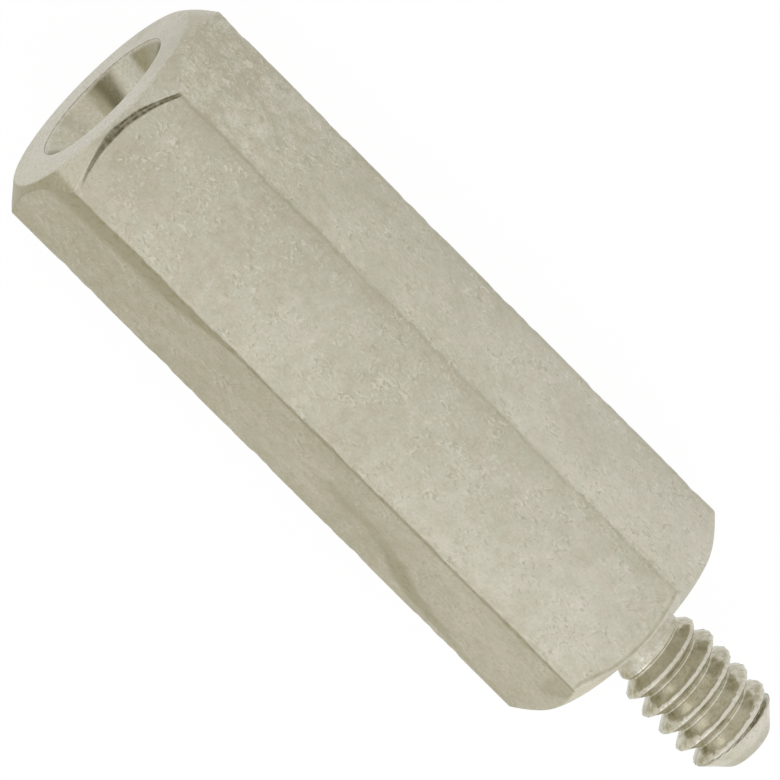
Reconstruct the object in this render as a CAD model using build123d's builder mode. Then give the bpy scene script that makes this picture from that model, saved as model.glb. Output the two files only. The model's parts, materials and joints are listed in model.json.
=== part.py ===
"""Male-female hex standoff, turned from one length of hexagon bar. Millimetres.

The axis runs along +X from the tapped end to the tip of the stud. The origin is on the axis, in the plane of
the shoulder that seats against a panel. +Z is up: the standoff lies on one of its flats.
"""

import os
from math import cos, radians, tan

from build123d import *

# Hexagon bar
across_flats = 6.30
corner_rounding = 0.25

# Body between the tapped end face and the shoulder
body_length = 19.05
tapped_end_chamfer_width = 0.59
tapped_end_chamfer_angle = 42.0
shoulder_chamfer_width = 0.46
shoulder_chamfer_angle = 39.0

# Stud: a relief neck behind the shoulder, a threaded shank and a chamfered tip
stud_length = 4.80
stud_diameter = 2.72
neck_diameter = 2.00
neck_fillet = 0.40
neck_length = 1.00
neck_rise_length = 0.36
tip_chamfer_width = 0.67
tip_chamfer_angle = 48.0

# Thread form on the shank
thread_pitch = 0.635
thread_depth = 0.37
thread_crest_width = 0.14
thread_root_width = 0.04

# Hole: a countersunk mouth, then the tapping drill's hole with its pointed floor
countersink_diameter = 3.91
countersink_angle = 60.0
tapping_diameter = 2.26
tapping_length = 9.50
drill_point_angle = 118.0

# How far cutting shapes pass the metal that they cut
overrun = 1.0

# Angle between the middle of a flat and a corner of the hexagon
half_side_angle = 30.0

# Radius to the hexagon's rounded corners, which the end chamfers are measured from
sharp_corner_radius = across_flats / 2 / cos(radians(half_side_angle))
corner_trim = corner_rounding / cos(radians(half_side_angle)) - corner_rounding
corner_radius = sharp_corner_radius - corner_trim
clear_radius = corner_radius + overrun

# Radii and places along the axis, from the shoulder
tapped_end_x = -body_length
tapped_face_radius = corner_radius - tapped_end_chamfer_width
tapped_chamfer_run = (tapped_end_chamfer_width + overrun) * tan(radians(tapped_end_chamfer_angle))
shoulder_radius = corner_radius - shoulder_chamfer_width
shoulder_chamfer_run = (shoulder_chamfer_width + overrun) * tan(radians(shoulder_chamfer_angle))
neck_radius = neck_diameter / 2
stud_radius = stud_diameter / 2
tip_face_radius = stud_radius - tip_chamfer_width
tip_chamfer_run = tip_chamfer_width * tan(radians(tip_chamfer_angle))

# Thread grooves, from the first crest to the last one before the tip chamfer
groove_mouth_width = thread_pitch - thread_crest_width
shank_start_x = neck_length + neck_rise_length
shank_end_x = stud_length - tip_chamfer_run
first_groove_x = shank_start_x + thread_crest_width + groove_mouth_width / 2
groove_count = int((shank_end_x - first_groove_x) / thread_pitch) + 1
groove_places = [(first_groove_x + turn * thread_pitch, stud_radius) for turn in range(groove_count)]

# Radii and places of the hole, from the tapped end face
countersink_radius = countersink_diameter / 2
tapping_radius = tapping_diameter / 2
tapping_start_x = tapped_end_x + (countersink_radius - tapping_radius) / tan(radians(countersink_angle / 2))
tapping_end_x = tapping_start_x + tapping_length
hole_bottom_x = tapping_end_x + tapping_radius / tan(radians(drill_point_angle / 2))

os.makedirs("parts", exist_ok=True)

with BuildPart() as hex_standoff:
    # Hexagon bar as long as the whole part, one flat down, its corners slightly rounded
    with BuildSketch(Plane.YZ.offset(tapped_end_x)) as bar_section:
        RegularPolygon(radius=across_flats / 2, side_count=6, major_radius=False)
        fillet(bar_section.vertices(), radius=corner_rounding)
    extrude(amount=body_length + stud_length)

    # Turning: what is left of the bar inside this outline is both end chamfers, the shoulder and the stud
    with BuildSketch(Plane.XZ) as turned_section:
        with BuildLine():
            body_outline = Polyline(
                (tapped_end_x, 0),
                (tapped_end_x, tapped_face_radius),
                (tapped_end_x + tapped_chamfer_run, clear_radius),
                (-shoulder_chamfer_run, clear_radius),
                (0, shoulder_radius),
                (0, neck_radius + neck_fillet),
            )
            TangentArc(body_outline @ 1, (neck_fillet, neck_radius), tangent=body_outline % 1)
            Polyline(
                (neck_fillet, neck_radius),
                (neck_length, neck_radius),
                (shank_start_x, stud_radius),
                (shank_end_x, stud_radius),
                (stud_length, tip_face_radius),
                (stud_length, 0),
                (tapped_end_x, 0),
            )
        make_face()
    revolve(axis=Axis.X, mode=Mode.INTERSECT)

    # Thread: ring grooves of its form, one for each turn, stand in for the helix
    with BuildSketch(Plane.XZ) as groove_section:
        with Locations(*groove_places):
            Polygon(
                (-groove_mouth_width / 2, overrun),
                (-groove_mouth_width / 2, 0),
                (-thread_root_width / 2, -thread_depth),
                (thread_root_width / 2, -thread_depth),
                (groove_mouth_width / 2, 0),
                (groove_mouth_width / 2, overrun),
                align=Align.NONE,
            )
    revolve(axis=Axis.X, mode=Mode.SUBTRACT)

    # Drilling: the countersink, then the tapping hole down to its drill point
    with BuildSketch(Plane.XZ) as hole_section:
        with BuildLine():
            Polyline(
                (tapped_end_x - overrun, 0),
                (tapped_end_x - overrun, countersink_radius),
                (tapped_end_x, countersink_radius),
                (tapping_start_x, tapping_radius),
                (tapping_end_x, tapping_radius),
                (hole_bottom_x, 0),
                close=True,
            )
        make_face()
    revolve(axis=Axis.X, mode=Mode.SUBTRACT)

hex_standoff.part.label = "hex_standoff"
export_step(hex_standoff.part, "parts/hex_standoff.step")
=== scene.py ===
"""Looks of the hex standoff: a finished mesh for the plain solid, its plating, a pale stage and the camera.

Lengths in the mesh code are millimetres along the frame's axes and become metres when the mesh is made.
"""

import json
from math import ceil, cos, floor, pi, radians, sin, sqrt, tan

import bpy
import numpy as np
from mathutils import Matrix, Vector


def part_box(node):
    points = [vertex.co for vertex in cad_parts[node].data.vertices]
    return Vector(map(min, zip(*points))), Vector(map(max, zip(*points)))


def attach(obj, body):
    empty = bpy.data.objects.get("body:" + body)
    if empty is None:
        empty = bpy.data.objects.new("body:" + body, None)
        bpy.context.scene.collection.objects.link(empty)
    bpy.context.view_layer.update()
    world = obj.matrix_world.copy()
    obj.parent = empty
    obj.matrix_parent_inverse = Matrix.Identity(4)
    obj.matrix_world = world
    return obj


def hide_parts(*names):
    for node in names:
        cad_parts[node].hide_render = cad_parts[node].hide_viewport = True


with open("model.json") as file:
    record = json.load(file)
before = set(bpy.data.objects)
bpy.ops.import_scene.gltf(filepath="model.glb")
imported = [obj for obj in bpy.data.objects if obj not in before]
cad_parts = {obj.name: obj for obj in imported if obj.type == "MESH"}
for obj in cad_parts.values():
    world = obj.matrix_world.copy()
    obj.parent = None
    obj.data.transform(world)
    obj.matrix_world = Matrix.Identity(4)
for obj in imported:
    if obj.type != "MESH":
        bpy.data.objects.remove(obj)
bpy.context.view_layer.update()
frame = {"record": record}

MM = 0.001
NODE = "hex_standoff"
mounts = {mount["name"]: mount for mount in frame["record"]["mounts"]}
node_low, node_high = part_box(NODE)

# Sizes that the frame gives
across_flats = (node_high.z - node_low.z) / MM
floor_z = node_low.z / MM
tapped_end_x = node_low.x / MM
stud_length = node_high.x / MM
stud_radius = mounts["stud"]["dims"]["r_mm"]
tapping_radius = mounts["tapped_hole"]["dims"]["r_mm"]
tapping_length = mounts["tapped_hole"]["dims"]["length_mm"]
tapping_middle_x = mounts["tapped_hole"]["pos_m"][0] / MM

# Sizes that only the part's source has
corner_rounding = 0.25
tapped_end_chamfer_width = 0.59
tapped_end_chamfer_angle = 42.0
shoulder_chamfer_width = 0.46
shoulder_chamfer_angle = 39.0
neck_radius = 1.00
neck_fillet = 0.40
tip_chamfer_width = 0.67
tip_chamfer_angle = 48.0
countersink_radius = 1.955
countersink_angle = 60.0
drill_point_angle = 118.0

# Edge breaks too small for the part's source
mouth_edge = 0.05
mouth_widening = 0.10
end_face_edge = 0.22
flat_edge = 0.04
shoulder_edge = 0.07
tip_edge = 0.24

# Screw thread, right-handed. Crests pass the top of the stud at crest_x and every pitch after it
pitch = 0.635
crest_x = 1.432
thread_depth = 0.39
crest_flat_share = 0.13
root_flat_share = 0.06
neck_end_x = 0.84
tapped_major_radius = 1.42
tapped_fade_length = 1.6
tapped_fade_end = 0.6
crest_raggedness = 0.011

# Plain rings at the ends of the two threads stand this far clear of them
tapped_clearance = 0.03
stud_clearance = 0.02

# Mesh density: columns round the bar, rows along the axis and steps of the rounds
flat_columns = 22
corner_columns = 8
drill_point_shares = (0.25, 0.5, 0.75, 0.92)
tapped_rows = 8
countersink_rows = 10
end_face_rows = 5
chamfer_rows = 12
burr_rows = 13
body_rows = 150
rim_rows = 8
shoulder_chamfer_rows = 2
shoulder_rows = 6
neck_rows = 5
thread_rows = 24
tip_rows = 4
edge_steps = 4
end_face_edge_steps = 5
fillet_steps = 8
tip_edge_steps = 6

# A round takes up no more than this share of the shorter stretch beside it
largest_round_share = 0.45

# Sizes worked out from those above
sides = 6
side_turn = 2 * pi / sides
half_side = side_turn / 2
corner_radius = (across_flats / 2 - corner_rounding) / cos(half_side) + corner_rounding
tapped_face_radius = corner_radius - tapped_end_chamfer_width
shoulder_radius = corner_radius - shoulder_chamfer_width
tip_face_radius = stud_radius - tip_chamfer_width
tip_slope = tan(radians(tip_chamfer_angle))
countersink_slope = tan(radians(countersink_angle / 2))
tapping_end_x = tapping_middle_x + tapping_length / 2
hole_bottom_x = tapping_end_x + tapping_radius / tan(radians(drill_point_angle / 2))


# Hexagon bar
def bar_columns():
    """Angle about the axis and radius of each column of vertices.

    Angle 0 is the middle of the top flat, which is side 0, and angles grow towards -Y.
    """
    apothem = across_flats / 2
    half_flat = (apothem - corner_rounding) * tan(half_side)
    centre = (apothem - corner_rounding) / cos(half_side)
    angles, radii = [], []
    for side in range(sides):
        middle = side * side_turn
        for step in range(flat_columns + 1):
            along = half_flat * sin(pi / 2 * (2 * step / flat_columns - 1))
            angles.append(middle + np.arctan2(along, apothem))
            radii.append(np.hypot(along, apothem))
        for step in range(1, corner_columns):
            turn = half_side * (2 * step / corner_columns - 1)
            out = centre + corner_rounding * cos(turn)
            across = corner_rounding * sin(turn)
            angles.append(middle + half_side + np.arctan2(across, out))
            radii.append(np.hypot(across, out))
    return np.array(angles), np.array(radii)


column_angle, bar_radius = bar_columns()
columns = len(column_angle)
in_upper_half = np.cos(column_angle) > 0

# Where the flats begin and end at each column, and the hole's mouth, whose edge is broken further out on +Y
tapped_chamfer_x = tapped_end_x + (bar_radius - tapped_face_radius) * tan(radians(tapped_end_chamfer_angle))
shoulder_chamfer_x = -(bar_radius - shoulder_radius) * tan(radians(shoulder_chamfer_angle))
mouth_outline = countersink_radius + mouth_widening * np.maximum(0, -np.sin(column_angle)) ** 2


def on_side(side):
    """Which columns are on that side of the hexagon."""
    return np.cos(column_angle - side * side_turn) > cos(half_side)


def on_flats(x):
    """Which columns are on a flat, between the chamfers, at these places along the axis."""
    return (x > tapped_chamfer_x) & (x < shoulder_chamfer_x)


def smooth_step(low, high, value):
    """0 below low, 1 above high and a smooth rise between."""
    share = np.clip((value - low) / (high - low), 0, 1)
    return share * share * (3 - 2 * share)


def fade(low, high, value):
    """1 below low, 0 above high and a smooth fall between."""
    return 1 - smooth_step(low, high, value)


def follow(x, points):
    """The value at x on straight lines through points, which are pairs of place and value."""
    places, values = zip(*points)
    return np.interp(x, places, values)


# Mesh
class Skin:
    """A closed skin of vertex rings round the axis, from the hole's bottom over the body to the tip."""

    def __init__(self):
        self.points = []
        self.faces = []
        # Tarnish also carries painted shade and painted reflections, wear painted highlights, and grime
        # painted shade
        self.marks = {"grime": [], "wear": [], "tarnish_and_painted_shade": [], "mottled": [], "turned": [], "shade": []}
        self.last = None

    def vertices(self, x, radius, angle, **marks):
        """Adds vertices at these places, with the marks given, and returns their numbers."""
        x, radius, angle = np.broadcast_arrays(x, radius, angle)
        first = len(self.points)
        self.points.extend(zip(x, -radius * np.sin(angle), radius * np.cos(angle)))
        for mark, values in self.marks.items():
            values.extend(np.broadcast_to(marks.get(mark, 0.0), x.shape))
        return np.arange(first, first + len(x))

    def join(self, ring):
        """Faces from the last ring to this one. A ring has one number more than columns, to close it."""
        if self.last is not None:
            corners = np.stack([self.last[:-1], self.last[1:], ring[1:], ring[:-1]], axis=1)
            for face in corners.tolist():
                kept = [v for v, before in zip(face, face[-1:] + face[:-1]) if v != before]
                if len(set(kept)) == len(kept) > 2:
                    self.faces.append(kept)
        self.last = ring

    def ring(self, x, radius, **marks):
        """A plain ring, at one place along the axis or at one for each column."""
        ring = self.vertices(x, radius, column_angle, **marks)
        self.join(np.append(ring, ring[0]))

    def tip(self, x):
        """A single vertex on the axis."""
        self.join(np.full(columns + 1, self.vertices([x], [0.0], [0.0])[0]))

    def helix(self, direction, rows, end_x, end_radius, start_x, surface):
        """Rings that follow the screw from the last ring to a plain ring at end_x.

        direction is 1 on the way towards +X and -1 on the way back. Each ring keeps one phase of the thread,
        so it climbs one pitch on its way round and goes on as the ring that is a pitch further. Where it
        would pass the plain ring at either end, it runs along that ring. surface gives radius and marks from
        place and phase.
        """
        start = self.last
        end = self.vertices(end_x, end_radius, column_angle)
        turn = column_angle / (2 * pi)
        low_x, high_x = min(start_x, end_x), max(start_x, end_x)
        first = floor(((low_x - crest_x) / pitch - turn[0] - 1) * rows) - 1
        final = ceil(((high_x - crest_x) / pitch - turn[0]) * rows) + 1
        numbers = {}
        for row in range(first, final + 1):
            x = crest_x + pitch * (row / rows + turn)
            at_low, at_high = x <= low_x, x >= high_x
            numbers[row] = np.where(at_low == (direction > 0), start[:-1], end)
            free = ~(at_low | at_high)
            if free.any():
                radius, marks = surface(x[free], row / rows)
                numbers[row][free] = self.vertices(x[free], radius, column_angle[free], **marks)
        beyond = end[0] if direction > 0 else start[0]
        for row in list(numbers)[::direction]:
            close = numbers[row + rows][0] if row + rows in numbers else beyond
            self.join(np.append(numbers[row], close))
        self.join(np.append(end, end[0]))


def thread_height(phase):
    """Height of the thread's form from 0 at its roots to 1 at its crests, which are at whole phases."""
    from_crest = abs(phase - round(phase))
    flank_share = (1 - crest_flat_share - root_flat_share) / 2
    return float(np.clip((0.5 - root_flat_share / 2 - from_crest) / flank_share, 0, 1))


def meridian(x, radius):
    """A corner of the meridian: an (x, radius) pair for each column."""
    return np.stack(np.broadcast_arrays(x, radius, column_angle), axis=-1)[:, :2]


def bend(before, corner, after, radius, steps):
    """Rows of a round of that radius at a corner of the meridian."""
    towards = before - corner
    towards_length = np.linalg.norm(towards, axis=-1, keepdims=True)
    away = after - corner
    away_length = np.linalg.norm(away, axis=-1, keepdims=True)
    towards = towards / towards_length
    away = away / away_length
    half = np.arccos(np.clip((towards * away).sum(-1, keepdims=True), -1, 1)) / 2
    reach = np.minimum(radius / np.tan(half), largest_round_share * np.minimum(towards_length, away_length))
    middle = towards + away
    centre = corner + middle / np.linalg.norm(middle, axis=-1, keepdims=True) * reach / np.cos(half)
    sweep = pi / 2 - half
    inward = (corner - centre) / np.linalg.norm(corner - centre, axis=-1, keepdims=True)
    across = (away - towards) / np.linalg.norm(away - towards, axis=-1, keepdims=True)
    size = reach * np.tan(half)
    rows = []
    for step in range(steps + 1):
        angle = sweep * (2 * step / steps - 1)
        rows.append(centre + size * (inward * np.cos(angle) + across * np.sin(angle)))
    return rows


def between(start, end, pieces):
    """Rows that divide a straight stretch into pieces, without its ends."""
    return [start + (end - start) * step / pieces for step in range(1, pieces)]


def rounded(path, start, rounds):
    """Rows from start along a path of corners to the last of its rounds.

    Each inner corner has a round: its radius, its steps and the pieces of the stretch that leads to it.
    """
    rows = []
    last = start
    for before, corner, after, (radius, steps, pieces) in zip(path, path[1:], path[2:], rounds):
        bent = bend(before, corner, after, radius, steps)
        rows += between(last, bent[0], pieces) + bent
        last = bent[-1]
    return rows


# Burr: metal that the chamfering tool tore along the end of the top flat, almost from corner to corner.
# Places are across the axis towards -Y, and shares run from 0 at its start to 1 at its finish
burr_start = -1.82
burr_finish = 1.60
burr_half_width = 0.105
burr_end_half_width = 0.045
burr_offset = 0.06
burr_end_offset = 0.12
burr_depth = 0.03
burr_reach = 0.24
burr_swell_power = 0.9
burr_single_shares = (0.12, 0.22)
burr_filled_shares = (0.45, 0.60)
burr_thinning_shares = (0.60, 0.95)
burr_thinning = 0.45
burr_start_fade = (0.0, 0.03)
burr_finish_fade = (0.0, 0.06)

# Its two lines and the band between them, in half widths from its middle
burr_line_place = 0.55
burr_line_fade = (0.15, 0.45)
burr_band_fade = (0.75, 1.1)

# Its grime: the band's, and what is added or taken away where it is single, filled or thin
burr_band_level = 0.68
single_band_gain = 0.22
filled_band_gain = 0.14
filled_body_line_loss = 0.10
filled_chamfer_line_loss = 0.20
single_loss = 0.10
thin_loss = 0.30


def burr(x, radius):
    """Grime and depth of the burr on a row: one line at its start, then two with a band between them."""
    lateral = bar_radius * np.sin(column_angle)
    along = np.clip((lateral - burr_start) / (burr_finish - burr_start), 0, 1)
    single = fade(*burr_single_shares, along)
    filled = smooth_step(*burr_filled_shares, along)
    thinning = smooth_step(*burr_thinning_shares, along)
    uneven = 1 + 0.12 * np.sin(7.0 * lateral + 0.6) + 0.10 * np.sin(17.0 * lateral + 2.0)
    swell = (4 * along * (1 - along)) ** burr_swell_power * uneven
    half_width = burr_end_half_width + (burr_half_width - burr_end_half_width) * swell
    half_width = half_width * (1 - burr_thinning * thinning)
    offset = burr_offset + (burr_end_offset - burr_offset) * (2 * along - 1) ** 2
    place = (x - tapped_chamfer_x - offset) / half_width
    body_line = (1 - filled_body_line_loss * filled) * fade(*burr_line_fade, np.abs(place - burr_line_place))
    chamfer_line = 1 - filled_chamfer_line_loss * filled
    chamfer_line = chamfer_line * fade(*burr_line_fade, np.abs(place + burr_line_place))
    band = burr_band_level + single_band_gain * single + filled_band_gain * filled
    band = band * fade(*burr_band_fade, np.abs(place))
    here = on_side(0) & (radius > tapped_face_radius)
    here = here * smooth_step(*burr_start_fade, along) * smooth_step(*burr_finish_fade, 1 - along)
    strength = here * (1 - single_loss * single - thin_loss * thinning)
    grime = strength * np.maximum.reduce([body_line, chamfer_line, band])
    return grime, here * burr_depth * np.maximum(body_line, chamfer_line)


# Worn edges: how deep, how far from the edge in degrees, and how far their tarnish wanders across
edge_wear_depth = 0.03
edge_wear_fade = (1.0, 3.0)
edge_wander = 0.035


def waver(x, start):
    """An uneven wave along the axis, between -1 and 1."""
    waves = np.sin(1.9 * x + start) + 0.8 * np.sin(5.3 * x + 2 * start) + 0.6 * np.sin(13.7 * x + 3 * start)
    return waves / 2.4


def worn_edges(x):
    """How far the bar's edges are worn down at each column, at these places along the axis."""
    edge = np.floor(column_angle / side_turn)
    from_edge = np.degrees(np.abs(column_angle % side_turn - half_side))
    return edge_wear_depth * np.clip(waver(x, edge), 0, 1) * fade(*edge_wear_fade, from_edge)


# Painted edge shade: a dark line along the top flat's edge towards +Y with a soft band beside it, a faint
# line along the next edge, and a dull one along the top flat's other edge, near the stud. Angles are in
# degrees
dark_edge = -29.0
dark_line_half_width = 1.0
dark_line_level = 0.75
dark_line_drop = 0.25
dark_line_drop_x = (-16, -10)
dark_band_width = 9.0
dark_band_level = 0.28
faint_edge = -89.0
faint_line_half_width = 4.0
faint_line_level = 0.35
dull_edge = 29.0
dull_line_half_width = 2.0
dull_line_level = 0.4
dull_line_x = (-14, -3)


def half_turns(angle):
    """An angle in degrees, brought between -180 and 180."""
    return (angle + 180) % 360 - 180


def painted_edge_shade(x):
    """How dark the plating is along those edges, as painted shade."""
    wander = edge_wander * waver(x, 2.0) / corner_radius
    from_dark = half_turns(np.degrees(column_angle + wander) - dark_edge)
    from_faint = np.abs(half_turns(np.degrees(column_angle) - faint_edge))
    from_dull = np.abs(np.degrees(column_angle) - dull_edge)
    dark = dark_line_level - dark_line_drop * smooth_step(*dark_line_drop_x, x)
    dark = dark * fade(0.3 * dark_line_half_width, dark_line_half_width, np.abs(from_dark))
    band = dark_band_level * fade(0, dark_band_width, from_dark) * (from_dark > 0)
    faint = faint_line_level * fade(0, faint_line_half_width, from_faint)
    dull = dull_line_level * smooth_step(*dull_line_x, x) * fade(0, dull_line_half_width, from_dull)
    return np.maximum.reduce([dark, band, faint, dull])


# Darkening of the flat that faces -Y: its level is partly tarnish and partly painted shade. Pairs are a
# place along the axis and the value there
darkened_side = 1
flat_tarnish_and_shade_levels = ((-17.0, 0.08), (-9.0, 0.17))

# Painted reflection and shade: a dark strip under that flat's top edge, a wide one near the tapped end and a
# thin one all along
strip_widths = ((-19.0, 1.05), (-18.2, 0.90), (-14.5, 0.68), (-12.6, 0.10))
strip_fade = (0.75, 1.15)
thin_strip_fade = (0.08, 0.20)
thin_strip_level = 0.6

# A painted reflection, a slanting dark streak: its middle across the flat, its half width and its level
streak_middles = ((-8.9, -0.07), (-6.8, -0.13), (-5.8, 0.28), (-4.4, 1.05), (-1.7, 1.55))
streak_half_widths = ((-8.9, 0.02), (-8.2, 0.28), (-6.0, 0.28), (-5.1, 0.42), (-4.4, 0.30), (-1.7, 0.12))
streak_levels = ((-8.9, 0.0), (-8.0, 0.60), (-6.2, 0.62), (-5.3, 1.0), (-4.0, 0.80), (-1.7, 0.3))
streak_fade = (0.8, 1.2)

# A painted reflection, a half-round dark patch at the edge near the shoulder, darker round its outline
patch_x = -0.58
patch_half_length = 0.38
patch_width = 1.45
patch_level = 0.36
patch_outline_level = 0.24
patch_outline_start = (0.55, 0.85)
patch_fade = (0.85, 1.1)


def tarnish_and_painted_shade(x):
    """How dark the plating is at each column, at these places along the axis: tarnish, painted shade and
    painted reflections.
    """
    side_angle = column_angle - darkened_side * side_turn
    wavy_half_side = half_side + edge_wander * waver(x, 1.0) / corner_radius
    on_darkened = np.where(side_angle < 0, -side_angle < wavy_half_side, side_angle <= half_side)
    lateral = across_flats / 2 * np.tan(np.where(on_darkened, side_angle, 0.0))
    below_edge = lateral + across_flats / 2 * tan(half_side)

    strip = fade(*strip_fade, below_edge / follow(x, strip_widths))
    strip = np.maximum(strip, thin_strip_level * fade(*thin_strip_fade, below_edge))
    from_streak = np.abs(lateral - follow(x, streak_middles)) / follow(x, streak_half_widths)
    streak = follow(x, streak_levels) * fade(*streak_fade, from_streak)
    from_patch = np.hypot((x - patch_x) / patch_half_length, below_edge / patch_width)
    patch = patch_level + patch_outline_level * smooth_step(*patch_outline_start, from_patch)
    patch = patch * fade(*patch_fade, from_patch)
    level = follow(x, flat_tarnish_and_shade_levels)
    darkest = level + (1 - level) * np.maximum.reduce([strip, streak, patch])
    return on_flats(x) * np.where(on_darkened, darkest, painted_edge_shade(x))


# The top flat and the one beside it towards +Y are each a little brighter at their edge nearer -Y
shaded_sides = (5, 0)


def shade(x):
    """From -1 to 1 across the shaded flats, at each column, at these places along the axis."""
    side = np.round(column_angle / side_turn)
    across = np.tan(column_angle - side * side_turn) / tan(half_side)
    return on_flats(x) * np.where(np.isin(side % sides, shaded_sides), across, 0.0)


# Blotches: near the tapped end on the flat beside the top one towards +Y, and a few on the flat that faces
# -Y
blotchy_side = 5
blotchy_fade_x = (-17.5, -13.0)
darkened_side_mottling = 0.45


def mottling(x):
    """How blotchy the plating is at each column, at these places along the axis."""
    blotches = on_side(blotchy_side) * fade(*blotchy_fade_x, x)
    return on_flats(x) * (blotches + on_side(darkened_side) * darkened_side_mottling)


def flat_marks(x):
    """Marks of the flats at each column, at these places along the axis."""
    return {"tarnish_and_painted_shade": tarnish_and_painted_shade(x), "mottled": mottling(x), "shade": shade(x)}


# Tapped end. Places are across the axis: towards +Y in the hole and on the end face, and towards -Y on the
# chamfer
hole_shade_start = (1.03, 1.17)
hole_highlight_start = (0.45, 0.60)
hole_strip_start = (-0.46, -0.32)
hole_strip_finish = (0.02, 0.15)
face_bright_finish = (0.8, 1.8)
face_rim_inset = (0.45, 0.15)
chamfer_edge_places = (1.70, 1.82)
chamfer_deep_places = (1.80, 2.25)
chamfer_scrape_place = 1.62
chamfer_scrape_fade = (0.06, 0.14)
chamfer_glint_start = (0.3, 1.0)
chamfer_glint_finish = (1.72, 1.84)
chamfer_wear_angles = (34, 22)

# Levels of its marks. In the hole there are painted shade and a painted highlight, on the end face a painted
# highlight beside its wear, and on the chamfer painted shade and a painted glint beside its wear
hole_bright_wear = 0.55
hole_dull_grime = 0.24
hole_strip_grime = 0.10
mouth_grime = 0.6
face_wear = 0.28
face_bright_wear = 0.60
face_rim_tarnish = 0.12
face_mottling = 0.8
chamfer_edge_painted_shade = 0.32
chamfer_deep_painted_shade = 0.48
chamfer_wear = 0.5
chamfer_scrape_wear = 0.6
chamfer_glint_wear = 0.95

# Shade of the glints on both ends' chamfers
glint_shade = 3.0


def end_marks(radius):
    """Marks of the tapped end. The countersink has painted shade towards +Y and along its floor, and a
    painted highlight between.
    """
    lateral = -radius * np.sin(column_angle)
    in_hole = radius < mouth_outline - 0.5 * mouth_edge
    at_mouth = np.abs(radius - mouth_outline) < 0.25 * mouth_edge
    on_face = ~in_hole & (radius < tapped_face_radius)
    on_chamfer = ~in_hole & ~on_face

    # Painted shade in the hole towards +Y and in a strip along its floor, and a painted highlight between
    dull = smooth_step(*hole_shade_start, lateral)
    bright = smooth_step(*hole_highlight_start, lateral) * (1 - dull)
    strip = ~in_upper_half * smooth_step(*hole_strip_start, lateral) * fade(*hole_strip_finish, lateral)

    # A painted highlight on the end face, towards -Y
    bright_face = fade(*face_bright_finish, lateral)
    rim_low, rim_high = (tapped_face_radius - inset for inset in face_rim_inset)
    near_rim = smooth_step(rim_low, rim_high, radius)

    # Painted shade on the chamfer towards -Y, from its edge to deep beyond
    dark = chamfer_edge_painted_shade * smooth_step(*chamfer_edge_places, -lateral)
    dark = dark + chamfer_deep_painted_shade * smooth_step(*chamfer_deep_places, -lateral)
    worn_low, worn_high = (cos(radians(angle)) for angle in chamfer_wear_angles)
    worn = smooth_step(worn_low, worn_high, np.cos(column_angle))
    scraped = in_upper_half * fade(*chamfer_scrape_fade, np.abs(lateral + chamfer_scrape_place))
    # A painted glint on the chamfer's upper half, towards -Y
    glint = in_upper_half * smooth_step(*chamfer_glint_start, -lateral)
    glint = glint * fade(*chamfer_glint_finish, -lateral)

    worn_chamfer = [chamfer_scrape_wear * scraped, chamfer_wear * worn, chamfer_glint_wear * glint]
    return {
        "tarnish_and_painted_shade": (
            in_hole * np.maximum(dull, strip)
            + on_face * face_rim_tarnish * near_rim
            + on_chamfer * dark
        ),
        "wear": (
            in_hole * hole_bright_wear * bright
            + on_face * (face_wear + face_bright_wear * bright_face)
            + on_chamfer * np.maximum.reduce(worn_chamfer)
        ),
        "grime": in_hole * (hole_dull_grime * dull + hole_strip_grime * strip) + at_mouth * mouth_grime,
        "mottled": on_face * face_mottling,
        "turned": in_hole * 1.0,
        "shade": on_chamfer * glint_shade * glint,
    }


# Rim of the top flat at the shoulder: a thin dark line before its end and a painted highlight on the edge
# past it. Towards -Y the line is further from the end. Places are across the axis towards -Y
rim_reach = 0.24
rim_line_offset = 0.08
rim_line_far_offset = 0.14
rim_line_half_width = 0.08
rim_far_start = (0.7, 1.2)
rim_far_finish = (1.55, 1.75)
rim_glint_start = (0.7, 1.4)
rim_glint_finish = (1.9, 2.6)
rim_line_level = 0.50
rim_line_gain = 0.25
rim_wear_level = 0.85


def rim_marks(x, radius):
    """Tarnish for the dark line, and wear and shade for the painted highlight past it, of that rim. The
    painted highlight is brightest towards the corner on -Y.
    """
    lateral = radius * np.sin(column_angle)
    outside = (radius > shoulder_radius - shoulder_edge) & in_upper_half
    before_end = shoulder_chamfer_x - x
    far = smooth_step(*rim_far_start, lateral) * fade(*rim_far_finish, lateral)
    offset = rim_line_offset + (rim_line_far_offset - rim_line_offset) * far
    broken = smooth_step(-0.9, 0.7, np.sin(11 * lateral + 1.0) + 0.6 * np.sin(23 * lateral))
    line = rim_line_level + rim_line_gain * broken
    line = line * fade(0.2, 1.0, np.abs(before_end - offset) / rim_line_half_width)
    # A painted highlight on the edge past the line, with a painted glint towards the corner on -Y
    edge = outside * fade(0.0, 0.8 * offset, before_end)
    glint = edge * smooth_step(*rim_glint_start, lateral) * fade(*rim_glint_finish, lateral)
    wear = rim_wear_level * on_side(0) * edge * (1 - glint)
    return on_side(0) * line, wear, glint_shade * glint


# Neck and tip, which have the same marks all over
neck_marks = {"turned": 0.6, "mottled": 0.6, "tarnish_and_painted_shade": 0.25}
tip_marks = {"mottled": 1.0, "tarnish_and_painted_shade": 0.3}

# The stud's thread: where it rises out of the neck, and the notch where its last crest meets the tip's cone,
# which is wider and dirtier on the side towards +Y
first_rise_x = (0.90, 1.35)
first_rise_share = 0.7
second_rise_x = (1.2, 1.95)
root_start_x = (0.95, 1.05)
ragged_heights = (0.7, 1.0)
worn_heights = (0.9, 1.0)
tip_notch_x = 4.085
tip_notch_half_width = 0.065
tip_notch_depth = 0.10
notch_wide_start = (-0.2, 0.6)
notch_narrow_share = 0.6
notch_grime = 0.45
notch_wide_grime = 0.40

# Darkening and shade of the stud: darker towards +Y and towards -Y. Starts are shares of the radius: upper
# towards +Y and lower towards -Y
stud_tarnish_level = 0.04
stud_upper_darkening = 0.75
stud_upper_start = (0.60, 0.85)
stud_lower_darkening = 0.92
stud_lower_start = (0.55, 0.80)
stud_end_darkening_loss = 0.6
stud_shade = 0.9


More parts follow.
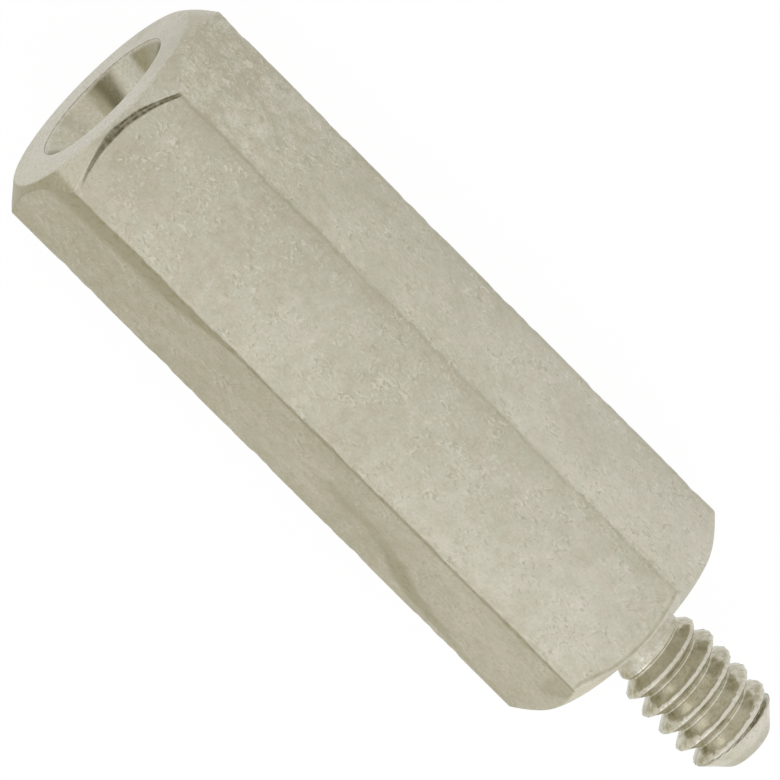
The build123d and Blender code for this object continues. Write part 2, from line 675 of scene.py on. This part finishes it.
def stud_surface(x, phase):
    """The stud's thread, rising out of the neck and running out in a notch before the cone of the tip."""
    angle = 2 * pi * ((x - crest_x) / pitch - phase)
    side = -np.sin(angle)
    height = thread_height(phase)
    ragged = crest_raggedness * (np.sin(23 * angle + 5 * x) + 0.8 * np.sin(41 * angle - 7 * x) - 1.8)
    full = stud_radius - thread_depth * (1 - height) + ragged * smooth_step(*ragged_heights, height)
    above_neck = full - neck_radius
    rise = first_rise_share * smooth_step(*first_rise_x, x)
    rise = rise + (1 - first_rise_share) * smooth_step(*second_rise_x, x)
    sink = smooth_step(*root_start_x, x)
    radius = neck_radius + np.maximum(above_neck, 0) * rise + np.minimum(above_neck, 0) * sink

    cone = np.minimum(stud_radius, tip_face_radius + (stud_length - x) / tip_slope)
    run_out = smooth_step(tip_notch_x - tip_notch_half_width, tip_notch_x + tip_notch_half_width, x)
    wide = smooth_step(*notch_wide_start, side)
    notch_half_width = tip_notch_half_width * (notch_narrow_share + (1 - notch_narrow_share) * wide)
    notch = fade(0.2, 1.0, np.abs(x - tip_notch_x) / notch_half_width)
    radius = np.minimum(radius + run_out * (cone - radius), cone) - notch * tip_notch_depth

    broken = smooth_step(-0.9, 0.6, np.sin(9 * angle + 1.0) + 0.7 * np.sin(23 * angle))
    upper = stud_upper_darkening * smooth_step(*stud_upper_start, side)
    lower = stud_lower_darkening * smooth_step(*stud_lower_start, -side)
    marks = {
        "grime": notch * (notch_grime + notch_wide_grime * wide) * (1 + broken) / 2,
        "wear": smooth_step(*worn_heights, height) * rise * (1 - run_out),
        "tarnish_and_painted_shade": (stud_tarnish_level + upper + lower) * (1 - stud_end_darkening_loss * run_out),
        "mottled": 1.0,
        "turned": 1.0,
        "shade": stud_shade,
    }
    return radius, marks


def tapped_surface(x, phase):
    """The internal thread, fading out above the drill point and cut by the countersink."""
    fade_end_x = tapping_end_x - tapped_fade_end
    depth = (tapped_major_radius - tapping_radius) * thread_height(phase)
    depth = depth * fade(fade_end_x - tapped_fade_length, fade_end_x, x)
    cone = countersink_radius - (x - tapped_end_x) * countersink_slope
    return np.maximum(tapping_radius + depth, cone), {}


# Corners of the meridian, from the end of the internal thread to the end of the neck
thread_mouth_radius = tapped_major_radius + tapped_clearance
thread_mouth_x = tapped_end_x + (countersink_radius - thread_mouth_radius) / countersink_slope
thread_mouth = meridian(thread_mouth_x, thread_mouth_radius)
face_mouth = meridian(tapped_end_x, mouth_outline)
face_rim = meridian(tapped_end_x, tapped_face_radius)
flat_start = meridian(tapped_chamfer_x, bar_radius)
burr_end = meridian(tapped_chamfer_x + burr_reach, bar_radius)
rim_start = meridian(shoulder_chamfer_x - rim_reach, bar_radius)
flat_end = meridian(shoulder_chamfer_x, bar_radius)
shoulder_rim = meridian(0.0, shoulder_radius)
neck_root = meridian(0.0, neck_radius)
neck_end = meridian(neck_end_x, neck_radius)


def add_hole(skin):
    """The drill point and the internal thread."""
    skin.tip(hole_bottom_x)
    for share in drill_point_shares:
        skin.ring(hole_bottom_x + (tapping_end_x - hole_bottom_x) * share, tapping_radius * share)
    thread_end_x = tapping_end_x - tapped_clearance
    skin.ring(thread_end_x, tapping_radius)
    skin.helix(-1, tapped_rows, thread_mouth_x, thread_mouth_radius, thread_end_x, tapped_surface)


def add_tapped_end(skin):
    """The countersink, the end face, its chamfer and the start of the flats, with the burr."""
    path = (thread_mouth, face_mouth, face_rim, flat_start, flat_end)
    rounds = (
        (mouth_edge, edge_steps, countersink_rows),
        (end_face_edge, end_face_edge_steps, end_face_rows),
        (flat_edge, edge_steps, chamfer_rows),
    )
    rows = rounded(path, thread_mouth, rounds)
    for row in rows:
        x, radius = row.T
        grime, depth = burr(x, radius)
        marks = end_marks(radius)
        marks["grime"] = np.maximum(marks["grime"], grime)
        skin.ring(x, radius - depth, **marks)
    for row in between(rows[-1], burr_end, burr_rows) + [burr_end]:
        x, radius = row.T
        grime, depth = burr(x, radius)
        skin.ring(x, radius - depth - worn_edges(x), grime=grime, **flat_marks(x))


def add_bar(skin):
    """The rest of the flats, the shoulder's chamfer and face, and the neck."""
    for row in between(burr_end, rim_start, body_rows) + [rim_start]:
        x, radius = row.T
        skin.ring(x, radius - worn_edges(x), **flat_marks(x))
    path = (flat_start, flat_end, shoulder_rim, neck_root, neck_end)
    rounds = (
        (shoulder_edge, edge_steps, rim_rows),
        (shoulder_edge, edge_steps, shoulder_chamfer_rows),
        (neck_fillet, fillet_steps, shoulder_rows),
    )
    rows = rounded(path, rim_start, rounds)
    for row in rows:
        x, radius = row.T
        line, wear, glint = rim_marks(x, radius)
        marks = flat_marks(x)
        marks["tarnish_and_painted_shade"] = np.maximum(marks["tarnish_and_painted_shade"], line)
        marks["shade"] = np.maximum(marks["shade"], glint)
        skin.ring(x, radius - on_flats(x) * worn_edges(x), wear=wear, **marks)
    for row in between(rows[-1], neck_end, neck_rows) + [neck_end]:
        skin.ring(*row.T, **neck_marks)


def add_stud(skin):
    """The stud's thread, then the cone and the end of the tip."""
    cone_radius = stud_radius - thread_depth - stud_clearance
    cone_x = stud_length - (cone_radius - tip_face_radius) * tip_slope
    skin.helix(1, thread_rows, cone_x, cone_radius, neck_end_x, stud_surface)
    tip_centre = meridian(stud_length, 0.0)
    path = (meridian(cone_x, cone_radius), meridian(stud_length, tip_face_radius), tip_centre)
    rows = rounded(path, path[0], ((tip_edge, tip_edge_steps, 1),))
    for row in rows + between(rows[-1], tip_centre, tip_rows):
        skin.ring(*row.T, **tip_marks)
    skin.tip(stud_length)


def make_piece(name):
    """A mesh object of the whole skin, in metres, with its marks as attributes for the material."""
    skin = Skin()
    add_hole(skin)
    add_tapped_end(skin)
    add_bar(skin)
    add_stud(skin)
    mesh = bpy.data.meshes.new(name)
    mesh.from_pydata((np.array(skin.points) * MM).tolist(), [], skin.faces)
    for mark, values in skin.marks.items():
        mesh.attributes.new(mark, "FLOAT", "POINT").data.foreach_set("value", np.array(values, np.float32))
    mesh.shade_smooth()
    piece = bpy.data.objects.new(name, mesh)
    bpy.context.scene.collection.objects.link(piece)
    weighted = piece.modifiers.new("face weighted normals", "WEIGHTED_NORMAL")
    weighted.mode = "FACE_AREA"
    weighted.weight = 50
    return piece


# Material
class Nodes:
    """A small helper to write shader nodes in a few words. Values are sockets or constants."""

    def __init__(self, owner):
        owner.use_nodes = True
        self.tree = owner.node_tree
        self.tree.nodes.clear()

    def feed(self, sockets, values):
        """Links or sets each socket."""
        for socket, value in zip(sockets, values):
            if isinstance(value, bpy.types.NodeSocket):
                self.tree.links.new(value, socket)
            else:
                socket.default_value = value

    def add(self, kind, settings=None, **inputs):
        """A node of that kind, with its settings and its inputs by name."""
        node = self.tree.nodes.new(kind)
        for key, value in (settings or {}).items():
            setattr(node, key, value)
        self.feed([node.inputs[key.replace("_", " ")] for key in inputs], inputs.values())
        return node

    def math(self, operation, first, second):
        """Two numbers combined."""
        node = self.add("ShaderNodeMath", {"operation": operation})
        self.feed(node.inputs, (first, second))
        return node.outputs[0]

    def total(self, *weighted):
        """The sum of numbers, each given with its weight."""
        products = [self.math("MULTIPLY", value, weight) for value, weight in weighted]
        result = products[0]
        for product in products[1:]:
            result = self.math("ADD", result, product)
        return result

    def measure(self, operation, first, second):
        """A number made from two vectors."""
        node = self.add("ShaderNodeVectorMath", {"operation": operation})
        self.feed(node.inputs, (first, second))
        return node.outputs["Value"]

    def scale(self, vector, factor):
        """A vector or a colour times a number."""
        node = self.add("ShaderNodeVectorMath", {"operation": "SCALE"}, Vector=vector, Scale=factor)
        return node.outputs["Vector"]

    def mix(self, share, first, second):
        """Two colours mixed."""
        node = self.add("ShaderNodeMix", {"data_type": "RGBA"})
        self.feed((node.inputs[0], node.inputs[6], node.inputs[7]), (share, first, second))
        return node.outputs[2]

    def noise(self, place, per_mm, detail=2.0, roughness=0.5, distortion=0.0):
        """Soft noise about 0.5, with that many features to the millimetre."""
        node = self.add("ShaderNodeTexNoise", Vector=place, Scale=per_mm, Detail=detail)
        self.feed((node.inputs["Roughness"], node.inputs["Distortion"]), (roughness, distortion))
        return node.outputs["Fac"]

    def spread(self, value, low, high, to_low=0.0, to_high=1.0):
        """A number brought from one range to another, and kept within it."""
        node = self.add("ShaderNodeMapRange", {"clamp": True}, Value=value, From_Min=low, From_Max=high)
        self.feed((node.inputs["To Min"], node.inputs["To Max"]), (to_low, to_high))
        return node.outputs["Result"]

    def mark(self, name):
        """One of the skin's marks."""
        return self.add("ShaderNodeAttribute", {"attribute_name": name}).outputs["Fac"]

    def mirrored(self, rays):
        """Whether metal or glass sent a ray on, from the outputs of Light Path."""
        return self.math("MAXIMUM", rays["Is Glossy Ray"], rays["Is Transmission Ray"])

    def spots(self, place, centres, radius):
        """Soft round spots at these centres."""
        spots = 0.0
        for centre in centres:
            spot = self.spread(self.measure("DISTANCE", place, centre), 0.3 * radius, radius, 0.9, 0.0)
            spots = self.math("MAXIMUM", spots, spot)
        return spots


# Plating: dark and light plate, each in a warmer and a greener hue, and what covers it: tarnish and painted
# shade, wear and painted highlights, grime and painted shade
dark_plate = ((0.434, 0.401, 0.296, 1), (0.426, 0.407, 0.304, 1))
light_plate = ((0.621, 0.584, 0.492, 1), (0.609, 0.592, 0.502, 1))
tarnish_and_shade_colour = (0.350, 0.323, 0.212, 1)
worn_and_highlight_colour = (0.65, 0.625, 0.530, 1)
grime_colour = (0.100, 0.085, 0.035, 1)

# How noise breaks up hue, tarnish and painted shade, wear and painted highlights, and grime and painted
# shade:
# the range of noise that counts, and the shares it leaves. The more mottled a place is, the less of its
# tarnish and painted shade is sure to be left
hue_threshold = (0.35, 0.65)
patch_threshold = (0.32, 0.62)
mottled_threshold = (0.5, 1.0)
mottled_least_shares = (0.75, 0.25)
rub_threshold = (0.35, 0.6)
rub_shares = (0.3, 1.0)
tear_threshold = (0.35, 0.6)
tear_shares = (0.60, 1.0)

# Its patterns, in features to the millimetre, and how much three of them weigh in its tone
clouds_per_mm = 0.45
mottle_per_mm = 3.0
grain_per_mm = 14.0
hue_per_mm = 2.2
patches_per_mm = 5.0
tears_per_mm = 8.0
cloud_weight = 0.25
mottle_weight = 0.33
grain_weight = 0.20
middle_tone = (cloud_weight + mottle_weight + grain_weight) / 2
tone_half_range = 0.16
# Painted shade along the axis: the plate is darker towards the tapped end and lighter towards the stud
tapped_end_tone = -0.07
stud_end_tone = 0.11
mottled_contrast = 2.1

# Brightness of the plate where shade is -1, and at the glints
least_shading = 0.945
most_shading = 1.225

# Nicks: short crooked strokes, a dark and a light one side by side, in crowds
nicks_per_mm = 5.5
nick_stretch = (0.8, 1.3, 1.0)
nick_slant = (0.4, 0.3, 0.7)
nick_distortion = 1.6
nick_threshold = (0.56, 0.70)
dark_nick_colour = (0.36, 0.335, 0.240, 1)
light_nick_colour = (0.70, 0.675, 0.58, 1)
light_nick_shift = 0.05
crowds_per_mm = 0.9
crowd_threshold = (0.40, 0.60)
crowd_levels = (0.18, 0.55)

# Scuffs, where nicks are dense: on the top flat and the flat beside it towards +Y, in millimetres
scuff_radius = 0.30
scuff_places = (
    (-18.24, 0.25, 3.15),
    (-18.23, -0.29, 3.15),
    (-13.27, -1.68, 3.15),
    (-0.40, -1.28, 3.15),
    (-17.00, 3.01, 1.09),
)

# Finish: roughness of the satin plate, its share on turned places, and the relief in millimetres
satin_roughness = (0.34, 0.42)
turned_roughness_share = 0.55
relief_height = 0.006
relief_strengths = (0.25, 0.8)


def plate_colour(nodes, place, mottle, grain, mottled):
    """Clean plate: cloudy, mottled and grained, with painted shade that makes it lighter towards the stud.
    """
    clouds = nodes.noise(place, clouds_per_mm, detail=3.0)
    tone = nodes.total((clouds, cloud_weight), (mottle, mottle_weight), (grain, grain_weight))
    tone = nodes.math("SUBTRACT", tone, middle_tone)
    tone = nodes.math("MULTIPLY", tone, nodes.spread(mottled, 0.0, 1.0, 1.0, mottled_contrast))
    x = nodes.add("ShaderNodeSeparateXYZ", Vector=place).outputs["X"]
    lengthwise = nodes.spread(x, tapped_end_x, stud_length, tapped_end_tone, stud_end_tone)
    tone = nodes.spread(nodes.math("ADD", tone, lengthwise), -tone_half_range, tone_half_range)
    hue = nodes.spread(nodes.noise(place, hue_per_mm, detail=3.0), *hue_threshold)
    colour = nodes.mix(tone, nodes.mix(hue, *dark_plate), nodes.mix(hue, *light_plate))
    shading = nodes.spread(nodes.mark("shade"), -1.0, glint_shade, least_shading, most_shading)
    return nodes.scale(colour, shading)


def nicked(nodes, place, colour):
    """That colour with nicks, crowded here and there and at the scuffs."""
    crowded = nodes.spread(nodes.noise(place, crowds_per_mm), *crowd_threshold, *crowd_levels)
    crowded = nodes.math("MAXIMUM", crowded, nodes.spots(place, scuff_places, scuff_radius))
    for shift, nick_colour in ((0.0, dark_nick_colour), (light_nick_shift, light_nick_colour)):
        slanted = nodes.add("ShaderNodeMapping", Vector=place, Rotation=nick_slant, Scale=nick_stretch)
        slanted.inputs["Location"].default_value = (shift, shift, shift)
        slanted = slanted.outputs["Vector"]
        strokes = nodes.noise(slanted, nicks_per_mm, detail=1.0, distortion=nick_distortion)
        nicks = nodes.math("MULTIPLY", nodes.spread(strokes, *nick_threshold), crowded)
        colour = nodes.mix(nicks, colour, nick_colour)
    return colour


def aged(nodes, place, grain, mottled, colour):
    """That colour with tarnish and painted shade, wear and painted highlights, and grime and painted shade,
    each broken up by a pattern.
    """
    patchy = nodes.spread(nodes.noise(place, patches_per_mm), *patch_threshold)
    least = nodes.spread(mottled, *mottled_threshold, *mottled_least_shares)
    patchy = nodes.math("MAXIMUM", patchy, least)
    colour = nodes.mix(nodes.math("MULTIPLY", nodes.mark("tarnish_and_painted_shade"), patchy), colour, tarnish_and_shade_colour)
    rubbed = nodes.spread(grain, *rub_threshold, *rub_shares)
    colour = nodes.mix(nodes.math("MULTIPLY", nodes.mark("wear"), rubbed), colour, worn_and_highlight_colour)
    torn = nodes.spread(nodes.noise(place, tears_per_mm), *tear_threshold, *tear_shares)
    return nodes.mix(nodes.math("MULTIPLY", nodes.mark("grime"), torn), colour, grime_colour)


def nickel_plate():
    """Satin nickel over brass: warm grey and mottled, with nicks, tarnish, worn places and grime, and with
    painted shade, highlights and reflections.
    """
    material = bpy.data.materials.new("nickel_plate")
    nodes = Nodes(material)
    place = nodes.scale(nodes.add("ShaderNodeTexCoord").outputs["Object"], 1 / MM)
    mottled = nodes.mark("mottled")
    mottle = nodes.noise(place, mottle_per_mm, detail=3.0, roughness=0.6)
    grain = nodes.noise(place, grain_per_mm)
    colour = plate_colour(nodes, place, mottle, grain, mottled)
    colour = nicked(nodes, place, colour)
    colour = aged(nodes, place, grain, mottled, colour)

    roughness = nodes.spread(mottle, 0.3, 0.7, *satin_roughness)
    turned = nodes.spread(nodes.mark("turned"), 0.0, 1.0, 1.0, turned_roughness_share)
    strength = nodes.spread(mottled, 0.0, 1.0, *relief_strengths)
    relief = nodes.total((mottle, 0.6), (grain, 0.4))
    bump = nodes.add("ShaderNodeBump", Strength=strength, Distance=relief_height * MM, Height=relief)
    shader = nodes.add(
        "ShaderNodeBsdfPrincipled",
        Base_Color=colour,
        Metallic=1.0,
        Roughness=nodes.math("MULTIPLY", roughness, turned),
        Normal=bump.outputs["Normal"],
    )
    nodes.add("ShaderNodeOutputMaterial", Surface=shader.outputs["BSDF"])
    return material


# Stage: the white that the camera sees round the part
white = (1, 1, 1, 1)

# Floor: as the metal shows it, it is a little darker beside the flat that faces -Y
floor_half_width = 600
floor_colour = (0.92, 0.92, 0.92, 1)
floor_glow = 1.03
floor_glow_seen = 0.92
floor_glow_mirrored = 0.85
lit_floor_y = -1.5
shaded_floor_y = -6.0
shaded_floor_colour = (0.885, 0.87, 0.785, 1)


def stage_floor():
    """A floor under the part. It looks white to the camera and in the metal, and keeps a soft shadow."""
    material = bpy.data.materials.new("floor")
    nodes = Nodes(material)
    rays = nodes.add("ShaderNodeLightPath").outputs
    mirrored = nodes.mirrored(rays)
    seen = nodes.math("MULTIPLY", rays["Is Camera Ray"], floor_glow_seen)
    share = nodes.math("MAXIMUM", seen, nodes.math("MULTIPLY", mirrored, floor_glow_mirrored))
    place = nodes.add("ShaderNodeTexCoord").outputs["Object"]
    y = nodes.add("ShaderNodeSeparateXYZ", Vector=place).outputs["Y"]
    shaded = nodes.spread(y, shaded_floor_y * MM, lit_floor_y * MM, 1.0, 0.0)
    colour = nodes.mix(nodes.math("MULTIPLY", mirrored, shaded), white, shaded_floor_colour)
    matt = nodes.add("ShaderNodeBsdfDiffuse", Color=floor_colour).outputs["BSDF"]
    glow = nodes.add("ShaderNodeEmission", Color=colour, Strength=floor_glow).outputs["Emission"]
    both = nodes.add("ShaderNodeMixShader")
    nodes.feed(both.inputs, (share, matt, glow))
    nodes.add("ShaderNodeOutputMaterial", Surface=both.outputs["Shader"])

    half = floor_half_width * MM
    z = floor_z * MM
    corners = [(-half, -half, z), (half, -half, z), (half, half, z), (-half, half, z)]
    mesh = bpy.data.meshes.new("floor")
    mesh.from_pydata(corners, [], [(0, 1, 2, 3)])
    mesh.materials.append(material)
    floor_object = bpy.data.objects.new("floor", mesh)
    bpy.context.scene.collection.objects.link(floor_object)


# Room: an even glow with a darker gap over the tapped end. What the metal shows of it brightens upwards, to
# white where a direction's upward part is white_height
room_colour = (0.80, 0.80, 0.80, 1)
white_height = 0.45
gap_colour = (0.31, 0.295, 0.205, 1)
gap_direction = (-0.72, -0.19, 0.67)
gap_inner_angle = 9
gap_outer_angle = 17

# Softbox: its place and sizes in millimetres, its radiance and its colour
softbox_place = (48, -62, 42)
softbox_width = 24
softbox_height = 86
softbox_radiance = 0.75
softbox_colour = (0.93, 0.98, 1.14)


def studio_room():
    """A pale room with a darker gap. The camera sees the room as white."""
    world = bpy.data.worlds.new("studio")
    bpy.context.scene.world = world
    nodes = Nodes(world)
    direction = nodes.add("ShaderNodeTexCoord").outputs["Generated"]
    height = nodes.add("ShaderNodeSeparateXYZ", Vector=direction).outputs["Z"]
    rays = nodes.add("ShaderNodeLightPath").outputs
    mirrored = nodes.mirrored(rays)
    brighter = nodes.math("MULTIPLY", mirrored, nodes.spread(height, 0.0, white_height))
    towards_gap = nodes.measure("DOT_PRODUCT", direction, Vector(gap_direction).normalized())
    in_gap = nodes.spread(towards_gap, cos(radians(gap_outer_angle)), cos(radians(gap_inner_angle)))
    colour = nodes.mix(brighter, room_colour, white)
    colour = nodes.mix(in_gap, colour, gap_colour)
    colour = nodes.mix(rays["Is Camera Ray"], colour, white)
    glow = nodes.add("ShaderNodeBackground", Color=colour, Strength=1.0)
    nodes.add("ShaderNodeOutputWorld", Surface=glow.outputs["Background"])


def softbox():
    """A tall softbox beside the stud, turned to the middle of the bar."""
    lamp = bpy.data.lights.new("softbox", "AREA")
    lamp.shape = "RECTANGLE"
    lamp.color = softbox_colour
    lamp.size = softbox_width * MM
    lamp.size_y = softbox_height * MM
    lamp.energy = softbox_radiance * pi * lamp.size * lamp.size_y
    lamp_object = bpy.data.objects.new("softbox", lamp)
    lamp_object.location = Vector(softbox_place) * MM
    aim = Vector((tapped_end_x / 2, 0, 0)) * MM
    lamp_object.rotation_euler = (aim - lamp_object.location).to_track_quat("-Z", "Y").to_euler()
    lamp_object.visible_camera = False
    bpy.context.scene.collection.objects.link(lamp_object)


# Camera, from a fit to the photo's outline: distances in units of the across-flats size
camera_distance_share = 39.94
camera_tilt = radians(14.537)
camera_roll_about_axis = radians(-5.551)
offset_along_share = -0.15627
offset_across_share = 0.00854
pixels_per_across_flats = 251.362
picture_pixels = 780
sensor_width = 36.0
camera_clip_start = 10


def photo_camera():
    """The photo's camera: looking down, tapped end nearer, with the axis on the picture's diagonal."""
    tilt, roll = camera_tilt, camera_roll_about_axis
    towards = Vector((-sin(tilt), -cos(tilt) * sin(roll), cos(tilt) * cos(roll)))
    along = Vector((cos(tilt), -sin(tilt) * sin(roll), sin(tilt) * cos(roll)))
    across = Vector((0, cos(roll), sin(roll)))
    right = (along + across) / sqrt(2)
    up = (across - along) / sqrt(2)
    middle = Vector((tapped_end_x / 2, 0, 0))
    offset = camera_distance_share * towards - offset_along_share * along - offset_across_share * across
    place = middle + across_flats * offset

    data = bpy.data.cameras.new("camera")
    data.sensor_width = sensor_width
    data.lens = pixels_per_across_flats * camera_distance_share / picture_pixels * sensor_width
    data.clip_start = camera_clip_start * MM
    camera = bpy.data.objects.new("camera", data)
    axes = Matrix((right, up, towards)).transposed().to_4x4()
    camera.matrix_world = Matrix.Translation(place * MM) @ axes
    bpy.context.scene.collection.objects.link(camera)
    bpy.context.scene.camera = camera


# Part, stage, light and camera
standoff = make_piece("standoff")
standoff.data.materials.append(nickel_plate())
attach(standoff, "root")
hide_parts(NODE)
stage_floor()
studio_room()
softbox()
photo_camera()
bpy.context.scene.view_settings.view_transform = "Standard"
